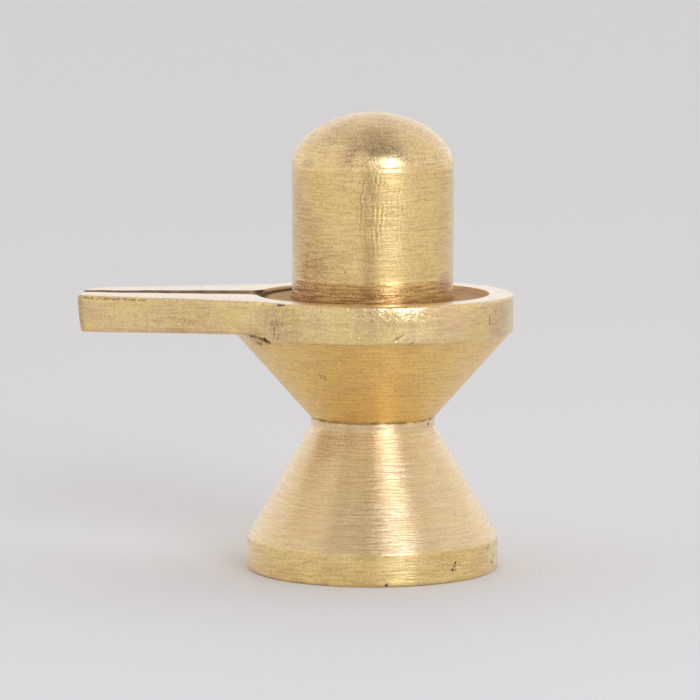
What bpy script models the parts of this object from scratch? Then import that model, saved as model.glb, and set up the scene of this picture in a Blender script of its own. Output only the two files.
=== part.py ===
# Small brass shiva lingam, cast in one piece and turned about one upright axis.
# The origin is the middle of the flat underside, +Z is up, and the spout points along -X.

from math import atan2, cos, pi, sin, sqrt

import bmesh
import bpy

MM = 0.001

# Foot and lower cone
BASE_RADIUS = 16.55 * MM
BASE_BAND_HEIGHT = 4.25 * MM
BASE_EDGE_ROUND = 0.35 * MM
LOWER_CONE_HEIGHT = 14.65 * MM

# Narrow neck and upper cone
NECK_RADIUS = 8.2 * MM
NECK_HEIGHT = 1.1 * MM
UPPER_CONE_HEIGHT = 11.2 * MM
UPPER_CONE_RADIUS = 18.1 * MM

# Round rim with its shallow basin
RIM_RADIUS = 18.45 * MM
RIM_HEIGHT = 5.05 * MM
RIM_EDGE_ROUND = 0.3 * MM
RIM_LOWER_ROUND = 0.45 * MM
LIP_WIDTH = 3.1 * MM
BASIN_DEPTH = 0.52 * MM
BASIN_WALL_RUN = 0.95 * MM

# Lingam standing in the basin
LINGAM_FOOT_RADIUS = 10.55 * MM
LINGAM_TOP_RADIUS = 10.64 * MM
LINGAM_SHAFT_HEIGHT = 17.35 * MM
DOME_HEIGHT = 6.95 * MM
DOME_FULLNESS = 1.9

# Pouring spout and its channel
SPOUT_REACH = 38.4 * MM
SPOUT_TIP_WIDTH = 10.1 * MM
SPOUT_ROOT_WIDTH = 22.2 * MM
SPOUT_TIP_THICKNESS = 4.85 * MM
SPOUT_ROOT_THICKNESS = 4.4 * MM
SPOUT_CORNER_ROUND = 0.85 * MM
SPOUT_EDGE_ROUND = 0.28 * MM
SPOUT_ROOT_FILLET = 4.0 * MM
CHANNEL_TIP_WIDTH = 2.5 * MM
CHANNEL_ROOT_WIDTH = 4.8 * MM
CHANNEL_TIP_DEPTH = 0.7 * MM
CHANNEL_ROOT_DEPTH = 0.46 * MM
CHANNEL_MOUTH_ROUND = 2.0 * MM

# Heights worked out from the sizes above
NECK_BOTTOM = BASE_BAND_HEIGHT + LOWER_CONE_HEIGHT
NECK_TOP = NECK_BOTTOM + NECK_HEIGHT
RIM_BOTTOM = NECK_TOP + UPPER_CONE_HEIGHT
RIM_TOP = RIM_BOTTOM + RIM_HEIGHT
BASIN_FLOOR = RIM_TOP - BASIN_DEPTH
BASIN_RADIUS = RIM_RADIUS - LIP_WIDTH
DOME_CREASE = BASIN_FLOOR + LINGAM_SHAFT_HEIGHT

# Facets of the turned shapes and of the round stretches in an outline
TURN_STEPS = 88
DOME_STEPS = 14
ROUND_STEPS = 3
CORNER_STEPS = 5
FILLET_STEPS = 6
SHARP_ANGLE = pi / 6

ROOT_STEPS = 5
ROOT_HALF_TURN = pi / 40

# How far a cutter stands past the face it cuts, and how close points are welded
OVERCUT = 1.0 * MM
MERGE = 0.001 * MM

BRASS_COLOUR = (0.72, 0.50, 0.22, 1.0)
BRASS_ROUGHNESS = 0.3
BRASS_METALLIC = 1.0


def new_collection(name):
    collection = bpy.data.collections.new(name)
    bpy.context.scene.collection.children.link(collection)
    return collection


def new_object(name, mesh, collection):
    obj = bpy.data.objects.new(name, mesh)
    collection.objects.link(obj)
    return obj


def brass_material():
    material = bpy.data.materials.new("turned_brass")
    material.use_nodes = True
    shader = material.node_tree.nodes["Principled BSDF"]
    shader.inputs["Base Color"].default_value = BRASS_COLOUR
    shader.inputs["Roughness"].default_value = BRASS_ROUGHNESS
    shader.inputs["Metallic"].default_value = BRASS_METALLIC
    return material


def arc(centre, radius, start, end, steps):
    """Points of an arc, ends included, as pairs."""
    points = []
    for step in range(steps + 1):
        angle = start + (end - start) * step / steps
        points.append((centre[0] + radius * cos(angle), centre[1] + radius * sin(angle)))
    return points


def turned(name, profile, collection):
    """Turn a profile of (radius, height) pairs, given from its top down its outer side."""
    mesh = bpy.data.meshes.new(name)
    edges = [(i, i + 1) for i in range(len(profile) - 1)]
    mesh.from_pydata([(radius, 0.0, height) for radius, height in profile], edges, [])
    obj = new_object(name, mesh, collection)
    screw = obj.modifiers.new("turning", 'SCREW')
    screw.axis = 'Z'
    screw.angle = 2 * pi
    screw.steps = TURN_STEPS
    screw.render_steps = TURN_STEPS
    screw.use_merge_vertices = True
    screw.merge_threshold = MERGE
    return obj


def plate(name, outline, bottom, top, collection):
    """Stand a flat outline of (x, y) pairs up into a plate between two heights."""
    curve = bpy.data.curves.new(name, 'CURVE')
    curve.dimensions = '2D'
    curve.fill_mode = 'BOTH'
    curve.extrude = (top - bottom) / 2
    spline = curve.splines.new('POLY')
    spline.points.add(len(outline) - 1)
    for point, (x, y) in zip(spline.points, outline):
        point.co = (x, y, 0.0, 1.0)
    spline.use_cyclic_u = True
    flat = new_object(name + "_outline", curve, collection)
    flat.location.z = (top + bottom) / 2
    bpy.context.view_layer.update()
    evaluated = flat.evaluated_get(bpy.context.evaluated_depsgraph_get())
    mesh = bpy.data.meshes.new_from_object(evaluated)
    shape = bmesh.new()
    shape.from_mesh(mesh)
    bmesh.ops.remove_doubles(shape, verts=shape.verts, dist=MERGE)
    bmesh.ops.dissolve_limit(shape, angle_limit=0.001, verts=shape.verts, edges=shape.edges)
    bmesh.ops.recalc_face_normals(shape, faces=shape.faces)
    shape.to_mesh(mesh)
    shape.free()
    solid = new_object(name, mesh, collection)
    solid.matrix_world = flat.matrix_world
    bpy.data.objects.remove(flat)
    return solid


def blend_arc(slope, height, circle, radius):
    """Arc that runs from a side y = height + slope * x into a circle about the origin.

    Its centre stands off both by its own radius, and it is found on the -X side.
    """
    lift = height + radius * sqrt(1 + slope ** 2)
    reach = circle + radius
    root = sqrt((slope * lift) ** 2 - (1 + slope ** 2) * (lift ** 2 - reach ** 2))
    x = -(slope * lift + root) / (1 + slope ** 2)
    y = lift + slope * x
    start = atan2(-1.0, slope)
    end = atan2(-y, -x)
    return arc((x, y), radius, start, end, FILLET_STEPS)


def mirrored(side):
    """Close an outline given for its +Y side, with the same side turned over to -Y."""
    return side + [(x, -y) for x, y in reversed(side)]


def dome_profile():
    """The lingam's domed top, a little less full than an ellipse at its shoulder."""
    dome = [(0.0, DOME_CREASE + DOME_HEIGHT)]
    for step in range(1, DOME_STEPS + 1):
        angle = pi / 2 * (1 - step / DOME_STEPS)
        radius = LINGAM_TOP_RADIUS * cos(angle) ** (2 / DOME_FULLNESS)
        height = DOME_HEIGHT * max(sin(angle), 0.0) ** (2 / DOME_FULLNESS)
        dome.append((radius, DOME_CREASE + height))
    return dome


def casting_profile():
    """The whole turned outline: down the lingam, across the basin and down the outside."""
    basin = [(LINGAM_FOOT_RADIUS, BASIN_FLOOR), (BASIN_RADIUS - BASIN_WALL_RUN, BASIN_FLOOR),
             (BASIN_RADIUS, RIM_TOP)]
    top_round = arc((RIM_RADIUS - RIM_EDGE_ROUND, RIM_TOP - RIM_EDGE_ROUND),
                    RIM_EDGE_ROUND, pi / 2, 0.0, ROUND_STEPS)
    lower_round = arc((RIM_RADIUS - RIM_LOWER_ROUND, RIM_BOTTOM + RIM_LOWER_ROUND),
                      RIM_LOWER_ROUND, 0.0, -pi / 3, ROUND_STEPS)
    foot_round = arc((BASE_RADIUS - BASE_EDGE_ROUND, BASE_EDGE_ROUND),
                     BASE_EDGE_ROUND, 0.0, -pi / 2, ROUND_STEPS)
    return (dome_profile() + basin + top_round + lower_round
            + [(UPPER_CONE_RADIUS, RIM_BOTTOM), (NECK_RADIUS, NECK_TOP),
               (NECK_RADIUS, NECK_BOTTOM), (BASE_RADIUS, BASE_BAND_HEIGHT)]
            + foot_round + [(0.0, 0.0)])


def spout_outline():
    half_tip = SPOUT_TIP_WIDTH / 2
    slope = (SPOUT_ROOT_WIDTH / 2 - half_tip) / (SPOUT_REACH - RIM_RADIUS)
    # The rounded tip corner meets the end face and the slanted side
    side_turn = atan2(1.0, -slope)
    corner_x = -SPOUT_REACH + SPOUT_CORNER_ROUND
    corner_y = (half_tip + slope * SPOUT_CORNER_ROUND
                - SPOUT_CORNER_ROUND * sqrt(1 + slope ** 2))
    corner = arc((corner_x, corner_y), SPOUT_CORNER_ROUND, pi, side_turn, CORNER_STEPS)
    side = blend_arc(slope, half_tip + slope * SPOUT_REACH, RIM_RADIUS - MERGE,
                     SPOUT_ROOT_FILLET)
    # The root ends on an arc inside the lip
    side_end = pi - atan2(side[-1][1], -side[-1][0])
    root = arc((0.0, 0.0), RIM_RADIUS - LIP_WIDTH / 2, side_end, pi - ROOT_HALF_TURN, ROOT_STEPS)
    return mirrored(corner + side + root)


def channel_outline():
    half_tip = CHANNEL_TIP_WIDTH / 2
    slope = (CHANNEL_ROOT_WIDTH / 2 - half_tip) / (SPOUT_REACH - RIM_RADIUS)
    start = (-SPOUT_REACH - OVERCUT, half_tip - slope * OVERCUT)
    side = blend_arc(slope, half_tip + slope * SPOUT_REACH, BASIN_RADIUS,
                     CHANNEL_MOUTH_ROUND)
    mouth = [(-(LINGAM_FOOT_RADIUS + BASIN_RADIUS - BASIN_WALL_RUN) / 2, side[-1][1])]
    return mirrored([start] + side + mouth)


def raise_underside(solid, rise):
    """Let a plate's underside rise along +X from its place at the spout's tip."""
    for vertex in solid.data.vertices:
        if vertex.co.z < 0:
            vertex.co.z += rise * (vertex.co.x + SPOUT_REACH)
    return solid


def spout_plate(collection):
    solid = plate("spout", spout_outline(), RIM_TOP - SPOUT_TIP_THICKNESS, RIM_TOP, collection)
    rise = (SPOUT_TIP_THICKNESS - SPOUT_ROOT_THICKNESS) / (SPOUT_REACH - RIM_RADIUS)
    return raise_underside(solid, rise)


def channel_plate(collection):
    """The groove's cutter, whose floor falls from the basin to the spout's tip."""
    solid = plate("channel", channel_outline(), RIM_TOP - CHANNEL_TIP_DEPTH,
                  RIM_TOP + OVERCUT, collection)
    rise = (CHANNEL_TIP_DEPTH - CHANNEL_ROOT_DEPTH) / (SPOUT_REACH - BASIN_RADIUS)
    return raise_underside(solid, rise)


def as_cutter(obj):
    obj.hide_render = True
    obj.display_type = 'WIRE'
    return obj


def combine(obj, other, operation):
    boolean = obj.modifiers.new(other.name, 'BOOLEAN')
    boolean.operation = operation
    boolean.solver = 'EXACT'
    boolean.object = other


def rounded(obj, width):
    bevel = obj.modifiers.new("rounded_edges", 'BEVEL')
    bevel.width = width
    bevel.segments = 2
    bevel.limit_method = 'ANGLE'
    bevel.angle_limit = pi / 4
    return obj


def finished(obj, material):
    """Settle an object's modifiers into one mesh, smooth but for its real edges."""
    bpy.context.view_layer.update()
    evaluated = obj.evaluated_get(bpy.context.evaluated_depsgraph_get())
    mesh = bpy.data.meshes.new_from_object(evaluated)
    obj.modifiers.clear()
    obj.data = mesh
    mesh.shade_smooth()
    mesh.set_sharp_from_angle(angle=SHARP_ANGLE)
    mesh.materials.clear()
    mesh.materials.append(material)
    return obj


def build_shiva_lingam():
    parts = new_collection("shiva_lingam")
    shapes = new_collection("shapes_cut_or_joined")
    casting = turned("shiva_lingam", casting_profile(), parts)
    spout = spout_plate(shapes)
    channel = channel_plate(shapes)
    combine(casting, as_cutter(rounded(spout, SPOUT_EDGE_ROUND)), 'UNION')
    combine(casting, as_cutter(channel), 'DIFFERENCE')
    return finished(casting, brass_material())


for leftover in list(bpy.data.objects):
    bpy.data.objects.remove(leftover)
build_shiva_lingam()
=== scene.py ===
import random
from math import atan2, cos, degrees, hypot, pi, radians, sin, sqrt
import bmesh
import bpy
from mathutils import Matrix, Vector, noise
from mathutils.bvhtree import BVHTree
from mathutils.kdtree import KDTree


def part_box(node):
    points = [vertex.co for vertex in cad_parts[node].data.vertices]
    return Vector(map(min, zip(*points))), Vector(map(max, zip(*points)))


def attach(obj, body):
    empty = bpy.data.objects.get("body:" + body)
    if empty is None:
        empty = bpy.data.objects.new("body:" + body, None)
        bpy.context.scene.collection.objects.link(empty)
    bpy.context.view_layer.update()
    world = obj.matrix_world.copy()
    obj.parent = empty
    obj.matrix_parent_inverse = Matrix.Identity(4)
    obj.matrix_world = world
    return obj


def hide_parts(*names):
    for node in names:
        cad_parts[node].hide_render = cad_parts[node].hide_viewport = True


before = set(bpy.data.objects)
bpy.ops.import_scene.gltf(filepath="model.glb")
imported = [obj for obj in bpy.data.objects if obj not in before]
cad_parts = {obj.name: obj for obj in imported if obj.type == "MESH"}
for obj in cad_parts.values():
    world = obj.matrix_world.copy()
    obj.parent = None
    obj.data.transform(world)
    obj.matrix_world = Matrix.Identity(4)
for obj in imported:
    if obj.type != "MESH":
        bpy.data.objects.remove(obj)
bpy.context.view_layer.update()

mm = 0.001
tolerance = {"merge": 0.0005, "cut": 0.0001, "thin": 0.0002}  # distances that count as none
farOut = 60.0  # outside the piece, where rays onto its surface start
node = "shiva_lingam"
nodeLow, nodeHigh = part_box(node)

# The turned body: radii and heights of the casting, how far apart its rows stand, how far its
# turning marks stand out, and the margins that tell one face from the next
body = {
    "columns": 252, "domeSteps": 44, "roundSteps": 4,
    "rimRadius": nodeHigh.x / mm,
    "baseRadius": 16.55, "baseBand": 4.25, "baseRound": 0.35,
    "lowerCone": 14.65, "neckRadius": 8.2, "neckBand": 1.1,
    "upperCone": 11.2, "upperConeRadius": 18.1,
    "rimHeight": 5.05, "rimRound": 0.3, "rimLowerRound": 0.45,
    "lipWidth": 3.1, "basinDepth": 0.52, "basinWallRun": 0.95,
    "footRadius": 10.55, "shaftTopRadius": 10.64, "shaftHeight": 17.35,
    "domeHeight": 6.95, "domeFullness": 1.9, "creaseStep": 0.05, "creaseRun": 0.25,
    "finishLine": 38.5, "finishStep": 0.03, "finishRun": 0.12,
    "seamDepth": 0.12, "creaseRound": 0.16,
    # the neck seam's corners, out from the neck and up from its top, in seam depths
    "seamShape": [(0.8, 1.0), (-1.0, 0.0), (-0.3, -0.8), (0.0, -1.6)],
    "rowPitch": {"plain": 0.5, "shaft": 0.3, "cone": 0.26, "coarse": 0.17, "fine": 0.24,
                 "underside": 1.0},
    "ringRelief": {"shaft": 0.0012, "shaftFoot": 0.003, "upperCone": 0.0018,
                   "lowerCone": 0.007, "baseBand": 0.004, "underside": 0.004, "basin": 0.002},
    # the lower cone's coarse rings: share of the way down, height above the band, extra depth
    "coarseRings": {"from": 0.55, "height": 5.0, "extra": 1.5},
    "ringPace": {"outward": 17.3, "upward": 31.7},
    "margin": {"underside": 0.03, "neck": 0.05, "rim": 0.2, "corner": 0.1},
}
baseTop = body["baseBand"]
neckBottom = baseTop + body["lowerCone"]
neckTop = neckBottom + body["neckBand"]
rimBottom = neckTop + body["upperCone"]
rimTop = rimBottom + body["rimHeight"]
basinFloor = rimTop - body["basinDepth"]
basinRadius = body["rimRadius"] - body["lipWidth"]
domeCrease = basinFloor + body["shaftHeight"]

# The pouring spout, along -X, and its channel
spout = {
    "reach": -nodeLow.x / mm,
    "tipWidth": 10.1, "rootWidth": 22.2, "tipThickness": 4.85, "rootThickness": 4.4,
    "cornerRound": 1.15, "edgeRound": 0.28, "rootFillet": 4.0,
    "channelTipWidth": 2.5, "channelRootWidth": 4.8,
    "channelTipDepth": 0.7, "channelRootDepth": 0.46, "mouthRound": 2.0,
    "rootSink": 0.001, "rootGap": 4.5, "overcut": 1.0,
    "cornerSteps": 7, "filletSteps": 10, "rootSteps": 5, "edgeSteps": 3,
    # how far apart the rows of edges are, and where they start and end
    "rowPitch": 0.55, "endClear": 0.31, "faceClear": 0.33, "rimOverlap": 3.1, "rowShare": 0.6,
    "channelPast": 0.7,
}

# Filing by hand: how far the rim's band and the spout wander from true, slowly and quickly, how
# the spout's end leans, and how the rim's front is filed back towards its top edge
filing = {
    "slowWander": 0.035, "slowScale": 0.23, "rimShare": 0.6,
    "quickWander": 0.015, "quickScale": 0.9, "quickShift": (9.1, 4.7, 2.3),
    "bandInside": (2.5, 0.6), "bandFoot": 0.5, "spoutRun": 4.0, "levelShare": 0.35,
    "tipLean": 0.45, "tipRun": 2.5,
    "draftAngle": 14.0, "draftHalf": 46.0, "draftFull": 0.6, "draftFrom": 33.4,
    "draftInside": 0.9, "draftLean": 0.12, "draftHeight": 5.6,
    "draftRagged": {"middle": 0.75, "spread": 0.9, "scale": 0.55, "least": 0.15, "most": 1.3},
}

# Wear, by angle from the front in degrees and height
wear = {
    "pits": [
        # angle, height, size, depth of single casting pits
        (-45.4, 31.15, 0.80, 0.50), (-47.2, 31.15, 0.80, 0.50), (-49.2, 31.3, 0.50, 0.32),
        (-51.5, 31.5, 0.34, 0.25), (-53.2, 31.6, 0.30, 0.22), (-55.2, 31.6, 0.30, 0.2),
        (-50.6, 30.75, 0.26, 0.2), (-51.8, 30.6, 0.26, 0.2), (-53.2, 30.75, 0.26, 0.2),
        (-34.6, 36.12, 0.22, 0.15), (-35.6, 36.12, 0.30, 0.22), (-36.6, 36.1, 0.32, 0.25),
        (-37.6, 36.1, 0.26, 0.18), (-30.9, 20.15, 0.20, 0.12), (-23.0, 20.2, 0.16, 0.1),
        (-12.8, 21.6, 0.16, 0.12), (3.0, 20.1, 0.16, 0.10), (65.2, 19.4, 0.24, 0.16),
        (73.7, 18.7, 0.24, 0.16), (69.0, 19.9, 0.18, 0.12), (-16.2, 39.8, 0.13, 0.08),
        (-11.0, 51.6, 0.13, 0.08), (9.4, 0.2, 0.30, 0.14), (150.0, 2.4, 0.30, 0.18),
        (-128.0, 26.5, 0.26, 0.16), (118.0, 33.4, 0.30, 0.16),
    ],
    "clusters": [
        # angle, height, spread, how many, size of groups of small pits
        (43.3, 1.9, 1.1, 11, 0.2), (74.5, 1.8, 1.2, 8, 0.2), (69.0, 3.9, 0.8, 5, 0.16),
        (-40.5, 37.3, 1.3, 6, 0.14), (-152.0, 8.5, 1.8, 4, 0.13), (62.0, 34.8, 1.6, 6, 0.12),
        (47.0, 32.2, 2.4, 8, 0.12), (-60.0, 4.0, 1.0, 4, 0.14),
    ],
    "cuts": [
        # angle, height, length, lean: short slanted gouges
        (-41.2, 33.4, 1.7, 14), (-39.6, 32.4, 1.9, 10), (-38.2, 33.8, 1.2, -8),
        (-37.2, 32.3, 1.6, 13), (-35.6, 33.3, 1.0, 10), (-24.5, 26.9, 1.0, 10),
        (-22.5, 26.6, 0.9, 12), (58.0, 33.9, 1.2, 4), (20.0, 31.7, 1.4, 55),
        (14.0, 32.3, 1.6, 60), (140.0, 33.0, 1.5, 20),
    ],
    # the ragged upper edge of the spout's front side, from and to along X
    "edgeFlaws": {"from": -37.5, "to": -28.9, "count": 58, "size": 0.145, "sizes": (0.5, 1.25),
                  "depth": 0.45, "below": 0.36, "rise": (-0.05, 0.08)},
    "tarnish_and_shade": [
        # angle, height, reach, strength of brown patches
        (-44.0, 40.6, 5.5, 0.9), (-62.0, 45.0, 6.0, 0.5), (-48.0, 37.5, 3.0, 1.0),
        (66.0, 37.6, 2.6, 1.0), (12.0, 58.4, 4.2, 0.6), (-28.0, 58.0, 4.0, 0.5),
        (-34.0, 34.0, 4.5, 0.5), (-30.0, 17.0, 4.0, 0.6), (66.0, 33.0, 4.0, 0.5),
        (-52.0, 31.0, 3.0, 0.8), (70.0, 18.8, 2.0, 0.6), (150.0, 44.0, 6.0, 0.7),
        (-140.0, 12.0, 6.0, 0.6), (170.0, 34.0, 5.0, 0.6), (-68.0, 33.5, 6.5, 0.42),
    ],
    # the spout's rounded end gets painted shade, brown and darker, through the same mask as the
    # tarnish
    "tarnishCore": 0.2, "spoutEndShade": {"strength": 0.9, "start": 0.5, "end": 1.25},
    "clusterSpread": 0.4, "clusterSizes": (0.6, 1.3), "clusterDepth": 0.6, "lowest": 0.2,
    "cutStep": 0.2, "cutSize": 0.15, "cutDepth": 0.07,
    # how a pit is sunk, in shares of its size, and how much dirt its floor holds
    "pitPitch": 0.16, "refineTimes": 2, "refineReach": 1.2, "pitReach": 1.5, "pitFloor": 0.35,
    "pitRagged": 0.45, "pitRaggedScale": 4.1, "ink": 4.0, "inkEdge": (0.1, 0.75),
    "seed": 7,
}

# Dark lines painted in the corners, part dirt and part painted shade: the neck seam, the lingam's
# foot and the basin's corner, whose painted shade grows heavier at the channel's mouth.
# share and reach are (everywhere, and what the channel's mouth adds), noises are (share, scale)
grimeAndShadeLines = {
    "corners": [
        {"radius": body["neckRadius"], "height": neckTop,
         "share": (0.8, 0.0), "clear": 0.05, "reach": (0.26, 0.0)},
        {"radius": body["footRadius"], "height": basinFloor,
         "share": (0.5, 0.5), "clear": 0.02, "reach": (0.3, 0.0)},
        {"radius": basinRadius - body["basinWallRun"], "height": basinFloor,
         "share": (0.3, 1.2), "clear": 0.02, "reach": (0.3, 0.4)},
    ],
    "mouth": (8.0, 12.0),  # how far out along -X the mouth starts and is full
    "level": (0.6, 0.5), "noises": [(0.8, 0.9), (0.5, 2.7)],
}

# Finishes, in the order of the material slots. ringDepth, grain, chatter, dents and wave are
# millimetres of relief, ringScale is waves per millimetre, along is how much the rings follow the
# radius and the height, and scratches are (turn about X, Y, Z in degrees, depth). coat is the thin
# film of old polish. marks is how much darker the fine marks are, drift how strongly the tone
# wanders, and edgeTint the tone at a grazing angle
finishes = {
    "dome": {"tone": (0.83, 0.60, 0.27), "roughness": 0.27, "anisotropy": 0.15, "coat": 0.7,
             "along": (-1.0, 1.0), "ringScale": 3.0, "ringDepth": 0.014, "grain": 0.014,
             "scratches": [(20, 0, 30, 0.034), (0, 60, -40, 0.034), (70, 20, 80, 0.034)]},
    "shaft": {"tone": (0.83, 0.595, 0.24), "roughness": 0.235, "anisotropy": 0.55, "coat": 0.7,
              "along": (0.0, 1.0), "ringScale": 3.2, "ringDepth": 0.034, "grain": 0.016,
              "scratches": [], "chatter": 0.011},
    # the foot band's darker, deeper gold tone is painted reflection of the basin; its coarse rings
    # are turning marks
    "shaftFoot": {"tone": (0.72, 0.455, 0.155), "roughness": 0.28, "anisotropy": 0.74,
                  "coat": 1.0, "marks": 0.95, "along": (0.0, 1.0), "ringScale": 2.8,
                  "ringDepth": 0.11, "grain": 0.020, "scratches": [(0, 85, 20, 0.010)]},
    "basin": {"tone": (0.54, 0.36, 0.20), "roughness": 0.42, "anisotropy": 0.4, "coat": 0.0,
              "edgeTint": (0.72, 0.58, 0.42),
              "along": (1.0, 0.0), "ringScale": 2.4, "ringDepth": 0.030, "grain": 0.012,
              "scratches": []},
    # the lip's paler tone is painted highlight, standing in for the bright reflection on top faces
    "lip": {"tone": (0.88, 0.70, 0.42), "roughness": 0.26, "anisotropy": 0.3, "coat": 0.8,
            "along": (1.0, 0.0), "ringScale": 2.6, "ringDepth": 0.010, "grain": 0.006,
            "scratches": [(0, 0, 25, 0.006)]},
    "filed": {"tone": (0.82, 0.61, 0.265), "roughness": 0.27, "anisotropy": 0.0, "coat": 0.8,
              "along": (0.0, 1.0), "ringScale": 3.4, "ringDepth": 0.008, "grain": 0.016,
              "marks": 0.28,
              "scratches": [(0, 5, 0, 0.018), (0, 35, 30, 0.018), (30, -40, 0, 0.018)],
              "wave": 0.06, "dents": 0.12, "drift": 2.2},
    "upperCone": {"tone": (0.93, 0.645, 0.215), "roughness": 0.44, "anisotropy": 0.3, "coat": 0.8,
                  "along": (1.0, 1.0), "ringScale": 3.0, "ringDepth": 0.030, "grain": 0.008,
                  "scratches": []},
    "lowerCone": {"tone": (0.88, 0.65, 0.33), "roughness": 0.36, "anisotropy": 0.96,
                  "coat": 0.9, "coatRoughness": 0.22, "marks": 0.25, "along": (-1.0, 1.0),
                  "ringScale": 2.4, "ringDepth": 0.17, "grain": 0.024, "scratches": []},
    "baseBand": {"tone": (0.87, 0.64, 0.25), "roughness": 0.29, "anisotropy": 0.74,
                 "coat": 0.85, "along": (0.0, 1.0), "ringScale": 3.0, "ringDepth": 0.07,
                 "grain": 0.015, "scratches": []},
    "underside": {"tone": (0.70, 0.48, 0.21), "roughness": 0.38, "anisotropy": 0.4, "coat": 0.2,
                  "along": (1.0, 0.0), "ringScale": 2.0, "ringDepth": 0.030, "grain": 0.014,
                  "scratches": []},
    # the spout top's paler tone is painted highlight, standing in for the bright reflection on its
    # rails
    "spoutTop": {"tone": (0.88, 0.70, 0.42), "roughness": 0.26, "anisotropy": 0.0, "coat": 0.75,
                 "along": (1.0, 0.0), "ringScale": 2.6, "ringDepth": 0.006, "grain": 0.006,
                 "scratches": [(90, 0, 80, 0.006)]},
    "channel": {"tone": (0.43, 0.31, 0.19), "roughness": 0.42, "anisotropy": 0.0, "coat": 0.0,
                "edgeTint": (0.70, 0.58, 0.42), "along": (1.0, 0.0), "ringScale": 1.2,
                "ringDepth": 0.006, "grain": 0.016, "scratches": [(90, 0, 85, 0.010)]},
}
finishNames = list(finishes)


def arc(centre, radius, start, end, steps):
    points = []
    for step in range(steps + 1):
        angle = start + (end - start) * step / steps
        points.append((centre[0] + radius * cos(angle), centre[1] + radius * sin(angle)))
    return points


def stretch(start, end, pitch):
    # points from start to just before end, about a pitch apart
    steps = max(1, round(hypot(end[0] - start[0], end[1] - start[1]) / pitch))
    return [(start[0] + (end[0] - start[0]) * i / steps,
             start[1] + (end[1] - start[1]) * i / steps) for i in range(steps)]


def softened(before, corner, after, size):
    # a corner of the outline as a short curve, size long on each side
    a, b, c = Vector(before), Vector(corner), Vector(after)
    start = b + (a - b).normalized() * size
    end = b + (c - b).normalized() * size
    curve = [start * (1 - t) ** 2 + b * 2 * t * (1 - t) + end * t ** 2
             for t in (0.0, 0.33, 0.67, 1.0)]
    return [tuple(point) for point in curve]


def domePoint(angle):
    power = 2 / body["domeFullness"]
    radius = (body["shaftTopRadius"] - body["creaseStep"]) * max(cos(angle), 0.0) ** power
    return radius, domeCrease + body["domeHeight"] * max(sin(angle), 0.0) ** power


def turnedProfile():
    # the outline, from the dome's top down the outer side to the middle of the underside
    pitch, domeSteps, roundSteps = body["rowPitch"], body["domeSteps"], body["roundSteps"]
    rim, base, neck = body["rimRadius"], body["baseRadius"], body["neckRadius"]
    points = [domePoint(pi / 2 * (1 - step / domeSteps)) for step in range(domeSteps + 1)]

    # The shaft, its finish line and the basin
    shaftTop = (body["shaftTopRadius"], domeCrease - body["creaseRun"])
    slant = (body["shaftTopRadius"] - body["footRadius"]) / body["shaftHeight"]
    finishRadius = body["footRadius"] + slant * (body["finishLine"] - basinFloor)
    finishTop = (finishRadius, body["finishLine"])
    finishFoot = (finishRadius + body["finishStep"], body["finishLine"] - body["finishRun"])
    points += stretch(shaftTop, finishTop, pitch["shaft"]) + [finishTop]
    points += stretch(finishFoot, (body["footRadius"], basinFloor), pitch["fine"])
    wallFoot = (basinRadius - body["basinWallRun"], basinFloor)
    points += stretch((body["footRadius"], basinFloor), wallFoot, pitch["plain"])
    wallTop = softened(wallFoot, (basinRadius, rimTop), (rim, rimTop), body["creaseRound"])
    points += stretch(wallFoot, wallTop[0], pitch["fine"]) + wallTop[:-1]

    # The lip and the rim's band
    topRound = arc((rim - body["rimRound"], rimTop - body["rimRound"]),
                   body["rimRound"], pi / 2, 0.0, roundSteps)
    points += stretch(wallTop[-1], topRound[0], pitch["plain"]) + topRound[:-1]
    lowerRound = arc((rim - body["rimLowerRound"], rimBottom + body["rimLowerRound"]),
                     body["rimLowerRound"], 0.0, -pi / 3, roundSteps)
    points += stretch(topRound[-1], lowerRound[0], pitch["plain"]) + lowerRound

    # The upper cone, the neck and its seam, and the lower cone
    seam = [(neck + out * body["seamDepth"], neckTop + up * body["seamDepth"])
            for out, up in body["seamShape"]]
    points += stretch((body["upperConeRadius"], rimBottom), seam[0], pitch["cone"]) + seam[:-1]
    points += stretch(seam[-1], (neck, neckBottom), pitch["fine"])
    down = body["coarseRings"]["from"]
    coarseTop = (neck + (base - neck) * down, neckBottom + (baseTop - neckBottom) * down)
    points += stretch((neck, neckBottom), coarseTop, pitch["cone"])
    crease = softened(coarseTop, (base, baseTop), (base, 0.0), body["creaseRound"])
    points += stretch(coarseTop, crease[0], pitch["coarse"]) + crease[:-1]

    # The base band and the underside
    footRound = arc((base - body["baseRound"], body["baseRound"]), body["baseRound"],
                    0.0, -pi / 2, roundSteps)
    points += stretch(crease[-1], footRound[0], pitch["fine"]) + footRound[:-1]
    points += stretch(footRound[-1], (0.0, 0.0), pitch["underside"])
    return points + [(0.0, 0.0)]


def turnedFinish(radius, height):
    # the finish of a turned face, by the radius and height of its middle
    margin = body["margin"]
    if height < margin["underside"]:
        return "underside"
    if height < baseTop:
        return "baseBand"
    if height < neckTop - margin["neck"]:
        return "lowerCone"
    if height < rimBottom:
        return "upperCone"
    if radius > body["rimRadius"] - margin["rim"] or height < basinFloor - margin["corner"]:
        return "filed"
    if radius > basinRadius:
        return "lip"
    if radius > body["shaftTopRadius"] + margin["corner"]:
        return "basin"
    if height < body["finishLine"]:
        return "shaftFoot"
    return "shaft" if height < domeCrease else "dome"


def ringRelief(radius, height):
    # turning marks: each row stands in or out by a few micrometres
    coarse, pace = body["coarseRings"], body["ringPace"]
    depth = body["ringRelief"].get(turnedFinish(radius, height), 0.0)
    if baseTop < height < baseTop + coarse["height"]:
        depth *= 1.0 + coarse["extra"]
    ripple = noise.noise(Vector((0.0, 0.0, pace["upward"] * height + pace["outward"] * radius)))
    return radius + depth * ripple if radius > 0 else radius


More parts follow.
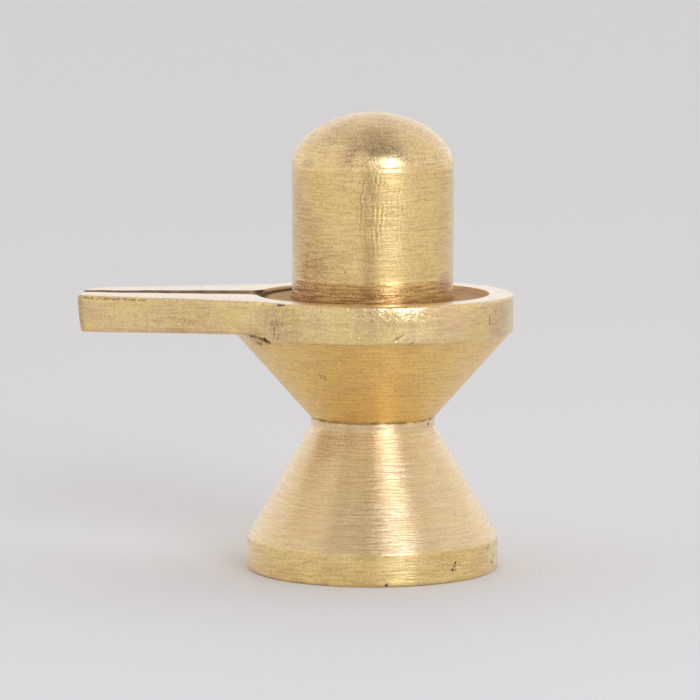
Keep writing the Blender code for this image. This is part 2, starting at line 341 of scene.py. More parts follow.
def meshObject(name, shape, materials):
    mesh = bpy.data.meshes.new(name)
    bmesh.ops.transform(shape, matrix=Matrix.Scale(mm, 4), verts=shape.verts)
    shape.to_mesh(mesh)
    shape.free()
    for material in materials:
        mesh.materials.append(material)
    obj = bpy.data.objects.new(name, mesh)
    bpy.context.scene.collection.objects.link(obj)
    return obj


def turnBody(materials):
    shape = bmesh.new()
    start = Matrix.Rotation(pi / body["columns"], 3, 'Z')
    rows = [shape.verts.new(start @ Vector((ringRelief(radius, height), 0.0, height)))
            for radius, height in turnedProfile()]
    lines = [shape.edges.new(pair) for pair in zip(rows, rows[1:])]
    bmesh.ops.spin(shape, geom=rows + lines, cent=(0, 0, 0), axis=(0, 0, 1),
                   angle=2 * pi, steps=body["columns"], use_merge=True)
    bmesh.ops.remove_doubles(shape, verts=shape.verts, dist=tolerance["merge"])
    bmesh.ops.recalc_face_normals(shape, faces=shape.faces)
    for face in shape.faces:
        middle = face.calc_center_median()
        name = turnedFinish(hypot(middle.x, middle.y), middle.z)
        face.material_index = finishNames.index(name)
    return meshObject(node + "_turned", shape, materials)


def blendArc(slope, height, circle, radius):
    # arc from the side y = height + slope * x into a circle about the axis, at -X
    lift = height + radius * sqrt(1 + slope ** 2)
    reach = circle + radius
    root = sqrt((slope * lift) ** 2 - (1 + slope ** 2) * (lift ** 2 - reach ** 2))
    x = -(slope * lift + root) / (1 + slope ** 2)
    y = lift + slope * x
    return arc((x, y), radius, atan2(-1.0, slope), atan2(-y, -x), spout["filletSteps"])


def spoutOutline():
    halfTip = spout["tipWidth"] / 2
    slope = (spout["rootWidth"] / 2 - halfTip) / (spout["reach"] - body["rimRadius"])
    cornerRound = spout["cornerRound"]
    corner = arc((-spout["reach"] + cornerRound,
                  halfTip + slope * cornerRound - cornerRound * sqrt(1 + slope ** 2)),
                 cornerRound, pi, atan2(1.0, -slope), spout["cornerSteps"])
    side = blendArc(slope, halfTip + slope * spout["reach"],
                    body["rimRadius"] - spout["rootSink"], spout["rootFillet"])
    rootTurn = pi - atan2(side[-1][1], -side[-1][0])
    root = arc((0.0, 0.0), body["rimRadius"] - body["lipWidth"] / 2,
               rootTurn, pi - radians(spout["rootGap"]), spout["rootSteps"])
    half = corner + side + root
    return half + [(x, -y) for x, y in reversed(half)]


def channelOutline():
    halfTip = spout["channelTipWidth"] / 2
    slope = (spout["channelRootWidth"] / 2 - halfTip) / (spout["reach"] - body["rimRadius"])
    side = blendArc(slope, halfTip + slope * spout["reach"], basinRadius, spout["mouthRound"])
    tip = (-spout["reach"] - spout["overcut"], halfTip - slope * spout["overcut"])
    mouthX = -(body["footRadius"] + basinRadius - body["basinWallRun"]) / 2
    half = [tip] + side + [(mouthX, side[-1][1])]
    return half + [(x, -y) for x, y in reversed(half)]


def raisedPlate(outline, bottom, top, rise):
    # an outline stood up between two heights, its underside rising along +X
    shape = bmesh.new()
    corners = [shape.verts.new((x, y, bottom + rise * (x + spout["reach"]))) for x, y in outline]
    floor = shape.faces.new(corners)
    grown = bmesh.ops.extrude_face_region(shape, geom=[floor])["geom"]
    for vertex in grown:
        if isinstance(vertex, bmesh.types.BMVert):
            vertex.co.z = top
    bmesh.ops.recalc_face_normals(shape, faces=shape.faces)
    return shape


def crossCut(shape, start, end, axis):
    # rows of edges across a plate, so that its faces can be worked. axis 0, 1, 2 is X, Y, Z
    steps = max(1, round((end - start) / spout["rowPitch"]))
    for step in range(1, steps):
        place, way = Vector((0, 0, 0)), Vector((0, 0, 0))
        place[axis] = start + (end - start) * step / steps
        way[axis] = 1.0
        geom = shape.verts[:] + shape.edges[:] + shape.faces[:]
        bmesh.ops.bisect_plane(shape, geom=geom, dist=tolerance["cut"],
                               plane_co=place, plane_no=way)


def buildSpout(materials):
    rise = (spout["tipThickness"] - spout["rootThickness"]) / (spout["reach"] - body["rimRadius"])
    bottom, clear = rimTop - spout["tipThickness"], spout["faceClear"]
    shape = raisedPlate(spoutOutline(), bottom, rimTop, rise)
    sharp = [edge for edge in shape.edges if edge.calc_face_angle() > pi / 4]
    bmesh.ops.bevel(shape, geom=sharp, offset=spout["edgeRound"], affect='EDGES',
                    segments=spout["edgeSteps"], profile=0.5, material=-1)
    half = spout["tipWidth"] * spout["rowShare"]
    crossCut(shape, -spout["reach"] + spout["endClear"],
             -body["rimRadius"] + spout["rimOverlap"], 0)
    crossCut(shape, bottom + clear, rimTop - clear, 2)
    crossCut(shape, -half, half, 1)
    for face in shape.faces:
        level = abs(face.normal.z) > 0.8
        name = "spoutTop" if level and face.calc_center_median().z > rimTop - 1 else "filed"
        face.material_index = finishNames.index(name)
    return meshObject(node + "_spout", shape, materials)


def buildChannel(materials):
    rise = ((spout["channelTipDepth"] - spout["channelRootDepth"])
            / (spout["reach"] - basinRadius))
    shape = raisedPlate(channelOutline(), rimTop - spout["channelTipDepth"],
                        rimTop + spout["overcut"], rise)
    crossCut(shape, -spout["reach"] - spout["channelPast"], -basinRadius, 0)
    for face in shape.faces:
        face.material_index = finishNames.index("channel")
    return meshObject(node + "_channel", shape, materials)


def joinBy(obj, other, operation):
    boolean = obj.modifiers.new(other.name, 'BOOLEAN')
    boolean.operation = operation
    boolean.solver = 'EXACT'
    boolean.material_mode = 'INDEX'
    boolean.object = other


def settled(obj):
    # the object's modifiers, made one mesh
    bpy.context.view_layer.update()
    evaluated = obj.evaluated_get(bpy.context.evaluated_depsgraph_get())
    mesh = bpy.data.meshes.new_from_object(evaluated)
    obj.modifiers.clear()
    obj.data = mesh


def fade(value, start, end):
    # 0 at start, 1 at end, smooth between
    t = min(max((value - start) / (end - start), 0.0), 1.0)
    return t * t * (3 - 2 * t)


def leanOver(vertex):
    # the rim's front was filed back towards its top edge
    spot, ragged = vertex.co, filing["draftRagged"]
    radius = hypot(spot.x, spot.y)
    height = spot.z - filing["draftFrom"]
    if radius < body["rimRadius"] - filing["draftInside"] or height <= 0:
        return
    aside = abs(atan2(spot.x, -spot.y) - radians(filing["draftAngle"]))
    half = filing["draftHalf"]
    share = 1 - fade(aside, radians(half * filing["draftFull"]), radians(half))
    patchy = noise.noise(Vector((spot.x, spot.y, 0.0)) * ragged["scale"])
    patchy = ragged["middle"] + ragged["spread"] * patchy
    patchy = min(max(patchy, ragged["least"]), ragged["most"])
    inward = filing["draftLean"] * share * patchy * height ** 2 / filing["draftHeight"]
    spot.xy = spot.xy * (1 - inward / radius)


def wanderFiledFaces(shape):
    # the rim's band and the spout were filed by hand, so they aren't quite true
    rim, foot = body["rimRadius"], filing["bandFoot"]
    bandStart, bandFull = filing["bandInside"]
    levelShare = filing["levelShare"]
    noise.seed_set(wear["seed"])  # without it noise_vector differs from run to run
    for vertex in shape.verts:
        spot = vertex.co
        share = (fade(hypot(spot.x, spot.y), rim - bandStart, rim - bandFull)
                 * fade(spot.z, rimBottom - foot, rimBottom + foot))
        if share <= 0:
            continue
        slow = noise.noise_vector(spot * filing["slowScale"]) * filing["slowWander"]
        quick = noise.noise_vector(spot * filing["quickScale"] + Vector(filing["quickShift"]))
        outside = fade(-spot.x, rim, rim + filing["spoutRun"])
        move = slow * (filing["rimShare"] + outside) + quick * filing["quickWander"]
        move.z *= levelShare + (1 - levelShare) * outside
        vertex.co += move * share
        leanOver(vertex)
        tip = 1 - fade(spot.x + spout["reach"], 0.0, filing["tipRun"])
        drop = (rimTop - spot.z) / spout["tipThickness"]
        vertex.co.x += filing["tipLean"] * tip * max(drop, 0.0) ** 2


def surfaceSpot(tree, angle, height):
    # where the surface lies at an angle from the front and a height
    turn = radians(angle)
    away = Vector((sin(turn), -cos(turn), 0.0))
    start = away * farOut + Vector((0, 0, height))
    return tree.ray_cast(start, -away)[0]


def verticesNear(shape, spots):
    # for each (spot, distance), the vertices within that distance
    shape.verts.index_update()
    shape.verts.ensure_lookup_table()
    tree = KDTree(len(shape.verts))
    for vertex in shape.verts:
        tree.insert(vertex.co, vertex.index)
    tree.balance()
    return [[shape.verts[found[1]] for found in tree.find_range(spot, distance)]
            for spot, distance in spots]


def pitSpots(tree, draw):
    # (spot, size, depth) of the single pits and the groups of small ones
    pits = [(surfaceSpot(tree, angle, height), size, depth)
            for angle, height, size, depth in wear["pits"]]
    wide = wear["clusterSpread"]
    for angle, height, spread, count, size in wear["clusters"]:
        middle = surfaceSpot(tree, angle, height)
        for _ in range(count):
            turn = angle + degrees(draw.gauss(0, wide) * spread / hypot(middle.x, middle.y))
            level = max(height + draw.gauss(0, wide) * spread, wear["lowest"])
            own = size * draw.uniform(*wear["clusterSizes"])
            pits.append((surfaceSpot(tree, turn, level), own, own * wear["clusterDepth"]))
    return pits


def cutSpots(tree):
    # each slanted cut is a row of small pits
    pits = []
    for angle, height, length, lean in wear["cuts"]:
        steps = round(length / wear["cutStep"])
        for step in range(steps):
            along = length * (step / steps - 0.5)
            turn = angle + degrees(along * sin(radians(lean)) / body["rimRadius"])
            spot = surfaceSpot(tree, turn, height + along * cos(radians(lean)))
            pits.append((spot, wear["cutSize"], wear["cutDepth"]))
    return pits


def flawSpots(tree, draw):
    # small pits close together along the upper edge of the spout's front side
    flaws = wear["edgeFlaws"]
    pits = []
    for step in range(flaws["count"]):
        along = flaws["from"] + (flaws["to"] - flaws["from"]) * step / (flaws["count"] - 1)
        height = rimTop - flaws["below"] + draw.uniform(*flaws["rise"])
        size = flaws["size"] * draw.uniform(*flaws["sizes"])
        spot = tree.ray_cast(Vector((along, -farOut, height)), Vector((0, 1, 0)))[0]
        pits.append((spot, size, flaws["depth"] * size))
    return pits


def refineNear(shape, spots):
    # halve the long edges near each (spot, distance)
    near = set()
    for vertices in verticesNear(shape, spots):
        near.update(edge for vertex in vertices for edge in vertex.link_edges
                    if edge.calc_length() > wear["pitPitch"])
    shape.edges.index_update()
    edges = sorted(near, key=lambda edge: edge.index)
    bmesh.ops.subdivide_edges(shape, edges=edges, cuts=1, use_grid_fill=True)


def gougePits(shape, grime_and_shade):
    # sink every pit, cut and flaw, and darken its floor
    tree = BVHTree.FromBMesh(shape)
    draw = random.Random(wear["seed"])
    pits = pitSpots(tree, draw) + cutSpots(tree) + flawSpots(tree, draw)
    for _ in range(wear["refineTimes"]):
        refineNear(shape, [(spot, wear["refineReach"] * size) for spot, size, depth in pits])
    shape.normal_update()
    reach = [(spot, wear["pitReach"] * size) for spot, size, depth in pits]
    moves = []
    for (spot, size, depth), vertices in zip(pits, verticesNear(shape, reach)):
        ink = min(1.0, wear["ink"] * size)
        for vertex in vertices:
            ragged = noise.noise(vertex.co * wear["pitRaggedScale"])
            ragged = size * (1 + wear["pitRagged"] * ragged)
            share = 1 - fade((vertex.co - spot).length, wear["pitFloor"] * ragged, ragged)
            moves.append((vertex, vertex.normal * (-depth * share)))
            vertex[grime_and_shade] = max(vertex[grime_and_shade], ink * fade(share, *wear["inkEdge"]))
    for vertex, move in moves:
        vertex.co += move


def layTarnishAndShade(shape, tarnish_and_shade):
    # brown tarnish patches, and painted shade on the spout's rounded end
    tree = BVHTree.FromBMesh(shape)
    end, core = wear["spoutEndShade"], wear["tarnishCore"]
    patches = [(surfaceSpot(tree, angle, height), reach, strength)
               for angle, height, reach, strength in wear["tarnish_and_shade"]]
    for vertex in shape.verts:
        share = 1 - fade(vertex.co.x + spout["reach"], end["start"], end["end"])
        share *= end["strength"]
        for spot, reach, strength in patches:
            away = (vertex.co - spot).length
            if away < reach:
                share = max(share, strength * (1 - fade(away, core * reach, reach)))
        vertex[tarnish_and_shade] = share


def layGrimeAndShade(shape, grime_and_shade):
    # the dark corners, part dirt and part painted shade, ragged, and heavier at the channel's mouth
    for vertex in shape.verts:
        spot = vertex.co
        radius, height = hypot(spot.x, spot.y), spot.z
        mouth = fade(-spot.x, *grimeAndShadeLines["mouth"])
        ragged = grimeAndShadeLines["level"][0] + grimeAndShadeLines["level"][1] * mouth
        ragged += sum(part * noise.noise(spot * scale) for part, scale in grimeAndShadeLines["noises"])
        share = 0.0
        for corner in grimeAndShadeLines["corners"]:
            away = hypot(radius - corner["radius"], height - corner["height"])
            reach = corner["reach"][0] + corner["reach"][1] * mouth
            strength = corner["share"][0] + corner["share"][1] * mouth
            share = max(share, strength * (1 - fade(away, corner["clear"], reach)))
        share *= min(max(ragged, 0.0), 1.0)
        vertex[grime_and_shade] = min(max(vertex[grime_and_shade], share), 1.0)


def addWear(obj):
    shape = bmesh.new()
    shape.from_mesh(obj.data)
    bmesh.ops.transform(shape, matrix=Matrix.Scale(1 / mm, 4), verts=shape.verts)
    bmesh.ops.remove_doubles(shape, verts=shape.verts, dist=tolerance["merge"])
    grime_and_shade = shape.verts.layers.float.new("grime_and_shade")
    tarnish_and_shade = shape.verts.layers.float.new("tarnish_and_shade")
    wanderFiledFaces(shape)
    gougePits(shape, grime_and_shade)
    layGrimeAndShade(shape, grime_and_shade)
    layTarnishAndShade(shape, tarnish_and_shade)
    bmesh.ops.triangulate(shape, faces=shape.faces)
    bmesh.ops.dissolve_degenerate(shape, dist=tolerance["thin"], edges=shape.edges)
    bmesh.ops.transform(shape, matrix=Matrix.Scale(mm, 4), verts=shape.verts)
    openEdges = sum(1 for edge in shape.edges if not edge.is_manifold)
    print("lingam:", len(shape.faces), "triangles,", openEdges, "open edges")
    shape.to_mesh(obj.data)
    shape.free()


def make(tree, kind, inputs=None, **settings):
    # a node with its settings, and its inputs linked or set
    made = tree.nodes.new(kind)
    for name, value in settings.items():
        setattr(made, name, value)
    for name, value in (inputs or {}).items():
        if isinstance(value, bpy.types.NodeSocket):
            tree.links.new(value, made.inputs[name])
        else:
            made.inputs[name].default_value = value
    return made


def calculate(tree, operation, *values):
    numbers = dict(enumerate(values))
    return make(tree, "ShaderNodeMath", numbers, operation=operation).outputs[0]


def remap(tree, value, band, levels):
    # from the band's two values to the two levels, smooth between
    inputs = {"Value": value, "From Min": band[0], "From Max": band[1],
              "To Min": levels[0], "To Max": levels[1]}
    return make(tree, "ShaderNodeMapRange", inputs, interpolation_type='SMOOTHSTEP').outputs[0]


def speckle(tree, place, scale, detail, roughness=0.6):
    # a noise of so many cells per millimetre
    inputs = {"Vector": place, "Scale": scale / mm, "Detail": detail,
              "Roughness": roughness}
    return make(tree, "ShaderNodeTexNoise", inputs).outputs["Fac"]


def blend(tree, share, first, second):
    inputs = {"Factor": share, "A": first, "B": second}
    return make(tree, "ShaderNodeMix", inputs, data_type='RGBA').outputs["Result"]


def bumped(tree, height, depth, normal=None):
    inputs = {"Height": height, "Distance": depth * mm, "Strength": 1.0}
    if normal:
        inputs["Normal"] = normal
    return make(tree, "ShaderNodeBump", inputs).outputs[0]


def ringPlace(tree, place, along):
    # a place that changes fast along the turned outline and slowly round it
    pace = 0.11
    split = make(tree, "ShaderNodeSeparateXYZ", {0: place})
    flat = make(tree, "ShaderNodeCombineXYZ", {"X": split.outputs["X"], "Y": split.outputs["Y"]})
    radius = make(tree, "ShaderNodeVectorMath", {0: flat.outputs[0]}, operation='LENGTH')
    outward = calculate(tree, 'MULTIPLY', radius.outputs["Value"], along[0])
    distance = calculate(tree, 'MULTIPLY_ADD', split.outputs["Z"], along[1], outward)
    slow = make(tree, "ShaderNodeVectorMath", {0: flat.outputs[0], 1: (pace, pace, 0.0)},
                operation='MULTIPLY')
    rings = make(tree, "ShaderNodeCombineXYZ", {"Z": distance})
    return make(tree, "ShaderNodeVectorMath", {0: slow.outputs[0], 1: rings.outputs[0]},
                operation='ADD').outputs[0]


def nearSpot(tree, place, spot, reach):
    # 1 near a spot, falling to 0 between the two distances of reach
    away = make(tree, "ShaderNodeVectorMath", {0: place, 1: [part * mm for part in spot]},
                operation='DISTANCE').outputs["Value"]
    return remap(tree, away, [distance * mm for distance in reach], (1.0, 0.0))


# Patterns are (cells per millimetre, detail), bands are the values between which they show
scratching = {"stretch": 0.2, "field": (2.6, 1.0), "level": 0.58, "width": 0.03,
              "patch": (0.45, 2.0), "patchBand": (0.44, 0.62)}
denting = {"heights": (33.3, 34.5), "middle": (-0.5, -18.0, 35.3), "reach": (7.5, 12.5),
           "pattern": (1.25, 2.0)}
chattering = {"rowHeight": 1.25, "rowShift": 40.0, "ticks": 112.0,
              "middle": (2.2, -10.5, 47.6), "reach": (2.5, 7.0),
              "patch": (0.5, 1.0), "patchBand": (0.36, 0.52)}


def scratchLines(tree, place, turns):
    # fine short lines: the level lines of a noise drawn out along one way, in patches
    turned = make(tree, "ShaderNodeMapping",
                  {"Vector": place, "Rotation": [radians(turn) for turn in turns],
                   "Scale": (1.0, 1.0, scratching["stretch"])}).outputs[0]
    field = speckle(tree, turned, *scratching["field"])
    offset = calculate(tree, 'SUBTRACT', field, scratching["level"])
    lines = remap(tree, calculate(tree, 'ABSOLUTE', offset), (0.0, scratching["width"]),
                  (1.0, 0.0))
    patch = remap(tree, speckle(tree, turned, *scratching["patch"]), scratching["patchBand"],
                  (0.0, 1.0))
    return calculate(tree, 'MULTIPLY', lines, patch)


def rimDents(tree, place):
    # hammered and filed spots along the top of the rim's front
    height = make(tree, "ShaderNodeSeparateXYZ", {0: place}).outputs["Z"]
    band = remap(tree, height, [edge * mm for edge in denting["heights"]], (0.0, 1.0))
    near = nearSpot(tree, place, denting["middle"], denting["reach"])
    share = calculate(tree, 'MULTIPLY', band, near)
    return calculate(tree, 'MULTIPLY', speckle(tree, place, *denting["pattern"]), share)


def chatterMarks(tree, place):
    # upright ticks left by a chattering tool, in rows, most of them in one patch at the front
    split = make(tree, "ShaderNodeSeparateXYZ", {0: place})
    turn = calculate(tree, 'ARCTAN2', split.outputs["X"], split.outputs["Y"])
    rows = calculate(tree, 'DIVIDE', split.outputs["Z"], chattering["rowHeight"] * mm)
    draw = make(tree, "ShaderNodeTexWhiteNoise", {"W": calculate(tree, 'FLOOR', rows)},
                noise_dimensions='1D')
    shift = calculate(tree, 'MULTIPLY', draw.outputs["Value"], chattering["rowShift"])
    ticks = calculate(tree, 'SINE',
                      calculate(tree, 'MULTIPLY_ADD', turn, chattering["ticks"], shift))
    near = nearSpot(tree, place, chattering["middle"], chattering["reach"])
    patch = remap(tree, speckle(tree, place, *chattering["patch"]), chattering["patchBand"],
                  (0.0, 1.0))
    return calculate(tree, 'MULTIPLY', ticks, calculate(tree, 'MULTIPLY', near, patch))


# What all the finishes share. The tones are shares of a finish's own red, green and blue, and
# the drift's are added to 1
brass = {
    "ringDetail": 3.0, "grain": (3.4, 2.0), "drift": (0.3, 4.0), "wave": (0.32, 2.0),
    "driftBand": (0.35, 0.65), "driftLow": (-0.015, -0.045, 0.03), "driftHigh": (0.02, 0.03, -0.02),
    "wornBand": (0.36, 0.54), "worn": (0.58, 0.48, 0.42), "marks": 0.5,
    "brightBand": (0.48, 0.64), "bright": (1.16, 1.25, 1.5), "brightShare": 0.55,
    "scored": (0.6, 0.5, 0.4), "scoredShare": 0.28,
    # the brown of tarnish, also used as painted shade on the spout's end
    "streakBand": (0.34, 0.58), "streaks": (1.0, 0.3), "tarnishedAndShaded": (0.56, 0.40, 0.46),
    # the dark of dirt in the pits and corners, and of painted shade in the corners
    "grime_and_shade": (0.10, 0.062, 0.045, 1.0), "grimeAndShadeRoughness": 0.3,
    "dotScale": 0.8, "dotChoice": (0.72, 0.98), "dotEdge": (0.04, 0.11), "dotShare": 0.6,
    "roughnessBand": (0.3, 0.7), "roughnessSpread": 0.03,
}


def reliefNormal(tree, place, finish, rings, grain):
    # rings, grain, scratches and the finish's own marks as bumps, and where it is scratched
    normal = bumped(tree, rings, finish["ringDepth"])
    normal = bumped(tree, grain, finish["grain"], normal)
    scratched = 0.0
    for *turns, depth in finish["scratches"]:
        field = scratchLines(tree, place, turns)
        normal = bumped(tree, field, -depth, normal)
        scratched = calculate(tree, 'MAXIMUM', scratched, field)
    if "chatter" in finish:
        normal = bumped(tree, chatterMarks(tree, place), finish["chatter"], normal)
    if "dents" in finish:
        normal = bumped(tree, rimDents(tree, place), finish["dents"], normal)
    if "wave" in finish:
        normal = bumped(tree, speckle(tree, place, *brass["wave"]), finish["wave"], normal)
    return normal, scratched


def smallDots(tree, place):
    # small dark casting pits, in a few of the cells
    cells = make(tree, "ShaderNodeTexVoronoi", {"Vector": place, "Scale": brass["dotScale"] / mm})
    pick = make(tree, "ShaderNodeSeparateColor", {0: cells.outputs["Color"]}).outputs[0]
    chosen = remap(tree, pick, brass["dotChoice"], (0.0, 1.0))
    dots = remap(tree, cells.outputs["Distance"], brass["dotEdge"], (brass["dotShare"], 0.0))
    return calculate(tree, 'MULTIPLY', chosen, dots)


def tinted(tone, shares):
    return (*[min(part * share, 1.0) for part, share in zip(tone, shares)], 1.0)


def brassTone(tree, finish, rings, grain, drift, scratched, dark):
    # the tone drifts in broad patches, is darker and paler in the fine marks, and browns with
    # tarnish and with painted shade on the spout's end
    tone, far = finish["tone"], finish.get("drift", 1.0)
    low, high = [tinted(tone, [1 + far * part for part in brass[name]])
                 for name in ("driftLow", "driftHigh")]
    base = blend(tree, remap(tree, drift, brass["driftBand"], (0.0, 1.0)), low, high)
    marks = calculate(tree, 'ADD', calculate(tree, 'MULTIPLY', rings, 0.5),
                      calculate(tree, 'MULTIPLY', grain, 0.5))
    darker = finish.get("marks", brass["marks"])
    worn = blend(tree, remap(tree, marks, brass["wornBand"], (darker, 0.0)), base,
                 tinted(tone, brass["worn"]))
    paler = remap(tree, marks, brass["brightBand"], (0.0, brass["brightShare"]))
    bright = blend(tree, paler, worn, tinted(tone, brass["bright"]))
    scored = blend(tree, calculate(tree, 'MULTIPLY', scratched, brass["scoredShare"]), bright,
                   tinted(tone, brass["scored"]))
    tarnish_and_shade = make(tree, "ShaderNodeAttribute", attribute_name="tarnish_and_shade").outputs["Fac"]
    streaks = remap(tree, marks, brass["streakBand"], brass["streaks"])
    brown = blend(tree, calculate(tree, 'MULTIPLY', tarnish_and_shade, streaks), scored,
                  tinted(tone, brass["tarnishedAndShaded"]))
    # darker where the pits and corners hold dirt and painted shade, and in the small dots
    return blend(tree, dark, brown, brass["grime_and_shade"])


def brassFinish(name, finish):
    # turned or filed brass under a thin film of old polish
    material = bpy.data.materials.new("brass_" + name)
    material.use_nodes = True
    tree = material.node_tree
    shader = tree.nodes["Principled BSDF"]
    fixed = {
        "Metallic": 1.0, "Anisotropic": finish["anisotropy"], "Anisotropic Rotation": 0.25,
        "Specular Tint": (*finish.get("edgeTint", (1, 1, 1)), 1), "Coat Weight": finish["coat"],
        "Coat Roughness": finish.get("coatRoughness", finish["roughness"]),
    }
    for socket, value in fixed.items():
        shader.inputs[socket].default_value = value
    place = make(tree, "ShaderNodeTexCoord").outputs["Object"]
    around = make(tree, "ShaderNodeVectorMath", {0: (0.0, 0.0, 1.0), 1: place},
                  operation='CROSS_PRODUCT').outputs[0]
    rings = speckle(tree, ringPlace(tree, place, finish["along"]), finish["ringScale"],
                    brass["ringDetail"])
    grain = speckle(tree, place, *brass["grain"])
    drift = speckle(tree, place, *brass["drift"])
    normal, scratched = reliefNormal(tree, place, finish, rings, grain)
    grime_and_shade = make(tree, "ShaderNodeAttribute", attribute_name="grime_and_shade").outputs["Fac"]
    dark = calculate(tree, 'MAXIMUM', smallDots(tree, place), grime_and_shade)
    spread = brass["roughnessSpread"]
    rough = remap(tree, drift, brass["roughnessBand"],
                  (finish["roughness"] - spread, finish["roughness"] + spread))
    linked = {
        "Tangent": around, "Normal": normal, "Coat Normal": normal,
        "Base Color": brassTone(tree, finish, rings, grain, drift, scratched, dark),
        "Roughness": calculate(tree, 'MULTIPLY_ADD', dark, brass["grimeAndShadeRoughness"], rough),
    }
    for socket, value in linked.items():
        tree.links.new(value, shader.inputs[socket])
    return material


def buildLingam():
    materials = [brassFinish(name, finish) for name, finish in finishes.items()]
    piece = turnBody(materials)
    cutters = [buildSpout(materials), buildChannel(materials)]
    joinBy(piece, cutters[0], 'UNION')
    joinBy(piece, cutters[1], 'DIFFERENCE')
    settled(piece)
    for cutter in cutters:
        bpy.data.objects.remove(cutter)
    addWear(piece)
    piece.data.shade_smooth()
    piece.data.set_sharp_from_angle(angle=radians(32))
    piece.name = "turned_brass_lingam"
    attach(piece, "root")
    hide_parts(node)
    return piece


# Camera at the photograph's angle. The shifts place the object in the frame as it stands there.
# Lengths are millimetres, apart from nearest and farthest, which are metres
view = {"azimuth": 3.5, "distance": 483.7, "height": 83.4, "aimHeight": 31.14,
        "lens": 190.45, "sensor": 36.0, "shiftX": -0.0325, "shiftY": -0.0262,
        "nearest": 0.01, "farthest": 50.0}


def placeCamera():
    turn = radians(view["azimuth"])
    spot = Vector((view["distance"] * sin(turn), -view["distance"] * cos(turn),
                   view["height"])) * mm
    aim = Vector((0.0, 0.0, view["aimHeight"] * mm))
    data = bpy.data.cameras.new("camera")
    data.lens = view["lens"]
    data.sensor_width = view["sensor"]
    data.shift_x = view["shiftX"]
    data.shift_y = view["shiftY"]
    data.clip_start = view["nearest"]
    data.clip_end = view["farthest"]
    camera = bpy.data.objects.new("camera", data)
    camera.location = spot
    camera.rotation_euler = (aim - spot).to_track_quat('-Z', 'Y').to_euler()
    bpy.context.scene.collection.objects.link(camera)
    bpy.context.scene.camera = camera


# The studio: azimuths from the camera and elevations in degrees, distances in metres. The lamp
# stands off from a spot lampAim up. The flags are darker gaps in the tent, and paler ones where
# shade is over 1
studio = {
    "tent": (0.80, 0.79, 0.80), "tentStrength": 1.15, "softAside": 5, "softUpright": 8,
    "floorTone": (0.82, 0.805, 0.79), "floorRoughness": 0.7, "floorGloss": 0.2,
    "floorRadius": 6.0, "floorFront": 0.32, "lampAim": 0.03,
    "lights": {
        "key": {"azimuth": 27, "elevation": 23.5, "distance": 0.9, "width": 0.34, "height": 0.36,
                "power": 2.08, "tone": (0.92, 1.02, 1.30)},
    },
    "flags": [
        {"azimuth": -5, "half": 8, "low": -15, "high": 6, "shade": 0.28},
        {"azimuth": -7, "half": 6, "low": 24, "high": 64, "shade": 0.40},
        {"azimuth": 18, "half": 26, "low": 40, "high": 64, "shade": 0.50},
        {"azimuth": -25, "half": 7, "low": 48, "high": 60, "shade": 2.1},
        {"azimuth": -40, "half": 6, "low": 12, "high": 60, "shade": 0.36},
        {"azimuth": 50, "half": 6, "low": 20, "high": 65, "shade": 0.26},
        {"azimuth": 5, "half": 62, "low": 61, "high": 67, "shade": 0.74},
        {"azimuth": 4, "half": 66, "low": 50, "high": 74, "shade": 0.54},
        {"azimuth": 0, "half": 200, "low": 68, "high": 120, "shade": 0.58},
        {"azimuth": 180, "half": 60, "low": -20, "high": 25, "shade": 1.12},
        {"azimuth": -180, "half": 60, "low": -20, "high": 25, "shade": 1.06},
    ],
}


def directionTo(azimuth, elevation):
    turn = radians(azimuth + view["azimuth"])
    rise = radians(elevation)
    return Vector((sin(turn) * cos(rise), -cos(turn) * cos(rise), sin(rise)))


def placeLight(name, light):
    data = bpy.data.lights.new(name, 'AREA')
    data.shape = 'RECTANGLE'
    data.size = light["width"]
    data.size_y = light["height"]
    data.energy = light["power"]
    data.color = light["tone"]
    lamp = bpy.data.objects.new(name, data)
    toward = directionTo(light["azimuth"], light["elevation"])
    lamp.location = toward * light["distance"] + Vector((0, 0, studio["lampAim"]))
    lamp.rotation_euler = toward.to_track_quat('Z', 'Y').to_euler()
    bpy.context.scene.collection.objects.link(lamp)


def softWindow(tree, value, middle, half, soft):
    # 1 within half of the middle, falling to 0 over soft degrees either way
    away = calculate(tree, 'ABSOLUTE', calculate(tree, 'SUBTRACT', value, radians(middle)))
    return remap(tree, away, (radians(max(half - soft, 0.0)), radians(half + soft)), (1.0, 0.0))


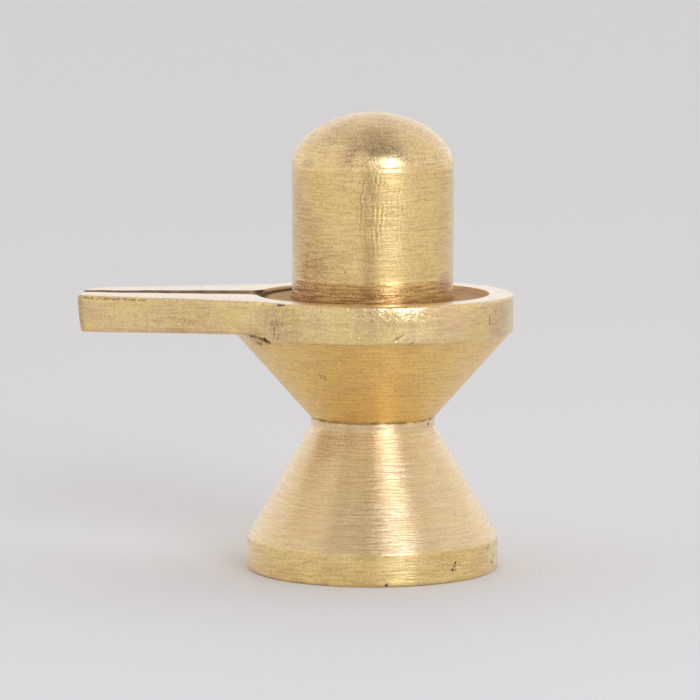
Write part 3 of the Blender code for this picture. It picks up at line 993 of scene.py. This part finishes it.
def lightTent():
    # a white tent all round, with darker gaps where the camera and the light stands are
    world = bpy.data.worlds.new("tent")
    bpy.context.scene.world = world
    world.use_nodes = True
    tree = world.node_tree
    direction = make(tree, "ShaderNodeTexCoord").outputs["Generated"]
    split = make(tree, "ShaderNodeSeparateXYZ", {0: direction})
    front = calculate(tree, 'MULTIPLY', split.outputs["Y"], -1.0)
    turn = calculate(tree, 'ARCTAN2', split.outputs["X"], front)
    rise = calculate(tree, 'ARCSINE', split.outputs["Z"])
    level = 1.0
    for flag in studio["flags"]:
        aside = softWindow(tree, turn, flag["azimuth"] + view["azimuth"], flag["half"],
                           studio["softAside"])
        upright = softWindow(tree, rise, (flag["low"] + flag["high"]) / 2,
                             (flag["high"] - flag["low"]) / 2, studio["softUpright"])
        share = calculate(tree, 'MULTIPLY', aside, upright)
        shade = calculate(tree, 'MULTIPLY_ADD', share, flag["shade"] - 1.0, 1.0)
        level = calculate(tree, 'MULTIPLY', level, shade)

    # The backdrop that the camera sees stays plain
    seen = make(tree, "ShaderNodeLightPath").outputs["Is Camera Ray"]
    level = calculate(tree, 'MULTIPLY_ADD', calculate(tree, 'SUBTRACT', 1.0, level), seen, level)
    colour = make(tree, "ShaderNodeVectorMath", {0: studio["tent"], "Scale": level},
                  operation='SCALE')
    background = tree.nodes["Background"]
    background.inputs["Strength"].default_value = studio["tentStrength"]
    tree.links.new(colour.outputs[0], background.inputs["Color"])


def layFloor():
    shape = bmesh.new()
    back = Matrix.Translation((0, (studio["floorRadius"] - studio["floorFront"]) / mm, 0))
    bmesh.ops.create_circle(shape, cap_ends=True, segments=96, matrix=back,
                            radius=studio["floorRadius"] / mm)
    material = bpy.data.materials.new("pale_floor")
    material.use_nodes = True
    shader = material.node_tree.nodes["Principled BSDF"]
    shader.inputs["Base Color"].default_value = (*studio["floorTone"], 1.0)
    shader.inputs["Roughness"].default_value = studio["floorRoughness"]
    shader.inputs["Specular IOR Level"].default_value = studio["floorGloss"]
    meshObject("floor", shape, [material])


placeCamera()
layFloor()
lightTent()
for name, light in studio["lights"].items():
    placeLight(name, light)
bpy.context.scene.view_settings.view_transform = 'Standard'
print("camera, floor and lights placed")
buildLingam()
print("lingam built")
